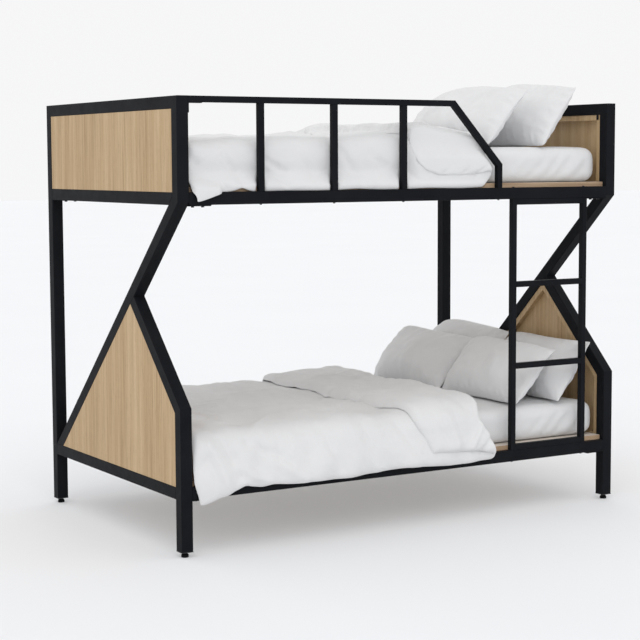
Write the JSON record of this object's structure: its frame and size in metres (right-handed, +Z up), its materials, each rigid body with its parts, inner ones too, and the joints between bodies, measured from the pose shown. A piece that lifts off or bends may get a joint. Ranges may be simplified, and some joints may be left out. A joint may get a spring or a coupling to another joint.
{
  "type": "bunk bed with ladder",
  "caption": "Black square-tube bunk bed with slanted end frames, wood end panels, guard rail, fixed ladder, levelling feet, mattresses, duvets and pillows.",
  "frame": {"origin": "on the floor, under the middle of the bed", "axes": "+X along the bed towards the head end, +Y across it towards the back, the ladder side is -Y, +Z up"},
  "size_m": [2.194, 1.38, 1.8746],
  "materials": {
    "black_steel": "matte black powder coat",
    "fastener_steel": "black zinc",
    "foot_steel": "satin black",
    "plug_plastic": "moulded, matte",
    "oak_panel": "matte lacquered oak veneer",
    "deck_board": "plain plywood",
    "mattress_fabric": "white fitted cotton sheet",
    "duvet_fabric": "white cotton cover",
    "pillow_fabric": "white cotton cover"
  },
  "bodies": {
    "root": {"foot_back_post": "black_steel", "foot_brace": "black_steel", "foot_diagonal": "black_steel", "foot_front_leg": "black_steel", "foot_low_rail": "black_steel", "foot_lower_panel": "oak_panel", "foot_middle_rail": "black_steel", "foot_panel_beads": "oak_panel", "foot_top_rail": "black_steel", "foot_upper_front_post": "black_steel", "foot_upper_panel": "oak_panel", "guard_balusters": "black_steel", "guard_bracket": "black_steel", "guard_end_post": "black_steel", "guard_slope": "black_steel", "guard_top_rail": "black_steel", "head_back_post": "black_steel", "head_brace": "black_steel", "head_diagonal": "black_steel", "head_front_leg": "black_steel", "head_low_rail": "black_steel", "head_lower_panel": "oak_panel", "head_middle_rail": "black_steel", "head_panel_beads": "oak_panel", "head_top_rail": "black_steel", "head_upper_front_post": "black_steel", "head_upper_panel": "oak_panel", "ladder_left_stile": "black_steel", "ladder_right_stile": "black_steel", "ladder_rungs": "black_steel", "leg_plugs": "plug_plastic", "lock_nuts": "fastener_steel", "lower_back_rail": "black_steel", "lower_cross_bars": "black_steel", "lower_deck": "deck_board", "lower_duvet": "duvet_fabric", "lower_front_left_pillow": "pillow_fabric", "lower_front_rail": "black_steel", "lower_front_right_pillow": "pillow_fabric", "lower_mattress": "mattress_fabric", "lower_rear_left_pillow": "pillow_fabric", "lower_rear_right_pillow": "pillow_fabric", "panel_clips": "black_steel", "rail_bolts": "fastener_steel", "rail_nuts": "fastener_steel", "rail_shoes": "black_steel", "tube_bolts": "fastener_steel", "tube_inserts": "fastener_steel", "upper_back_rail": "black_steel", "upper_cross_bars": "black_steel", "upper_deck": "deck_board", "upper_duvet": "duvet_fabric", "upper_front_pillow": "pillow_fabric", "upper_front_rail": "black_steel", "upper_mattress": "mattress_fabric", "upper_rear_pillow": "pillow_fabric"},
    "foot_back_levelling_foot": {"foot_back_levelling_foot": "foot_steel"},
    "foot_front_levelling_foot": {"foot_front_levelling_foot": "foot_steel"},
    "head_back_levelling_foot": {"head_back_levelling_foot": "foot_steel"},
    "head_front_levelling_foot": {"head_front_levelling_foot": "foot_steel"}
  },
  "joints": [
    {"name": "foot_back_foot_screw", "type": "slide", "parent": "root", "child": "foot_back_levelling_foot", "axis": [0, 0, 1], "range_m": [-0.012, 0]},
    {"name": "foot_front_foot_screw", "type": "slide", "parent": "root", "child": "foot_front_levelling_foot", "axis": [0, 0, 1], "range_m": [-0.012, 0]},
    {"name": "head_back_foot_screw", "type": "slide", "parent": "root", "child": "head_back_levelling_foot", "axis": [0, 0, 1], "range_m": [-0.012, 0]},
    {"name": "head_front_foot_screw", "type": "slide", "parent": "root", "child": "head_front_levelling_foot", "axis": [0, 0, 1], "range_m": [-0.012, 0]}
  ]
}
